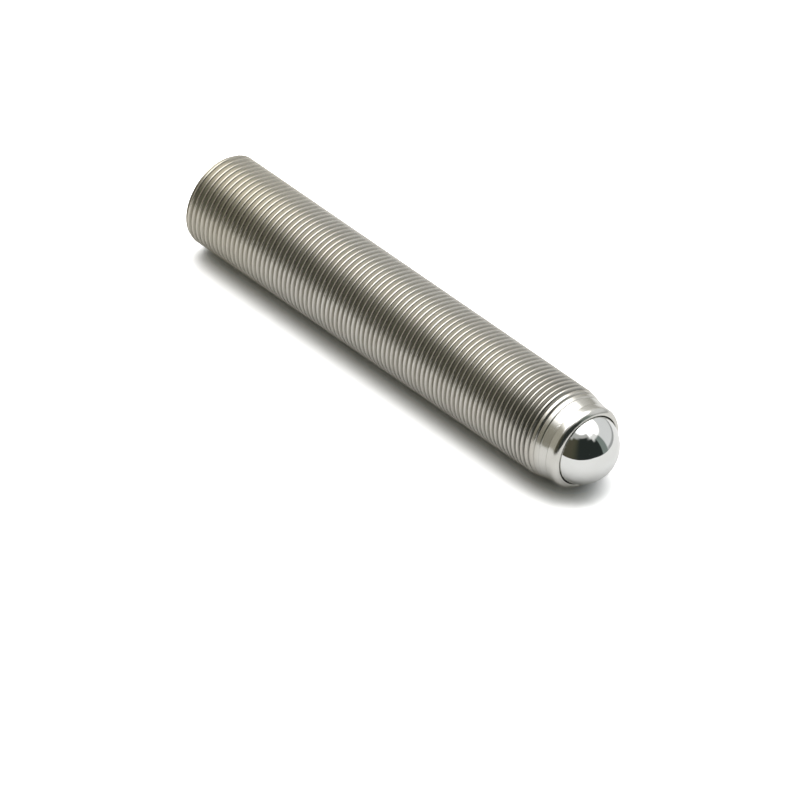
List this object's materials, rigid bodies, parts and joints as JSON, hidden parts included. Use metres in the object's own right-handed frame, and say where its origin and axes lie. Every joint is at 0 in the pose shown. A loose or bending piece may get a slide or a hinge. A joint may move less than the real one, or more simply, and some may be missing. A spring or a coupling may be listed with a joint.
{
  "type": "ball-end adjusting screw",
  "caption": "Headless fine-thread adjusting screw with a free-turning steel ball held in its nose by a rolled lip, and a hex socket in its flat end.",
  "frame": {"origin": "centre of the flat end, which the screw stands on", "axes": "+Z along the screw's axis, from the flat end towards the ball; +X through a corner of the hex socket"},
  "size_m": [0.0052, 0.0052, 0.03],
  "materials": {
    "body_steel": "bright turned and thread-rolled steel",
    "ball_steel": "mirror-polished hardened steel"
  },
  "bodies": {
    "screw": {"screw_body": "body_steel"},
    "ball": {"ball": "ball_steel"}
  },
  "joints": [
    {"name": "ball_spin", "type": "hinge", "parent": "screw", "child": "ball", "pos_m": [0, 0, 0.02797], "axis": [0, 0, 1], "continuous": true}
  ]
}
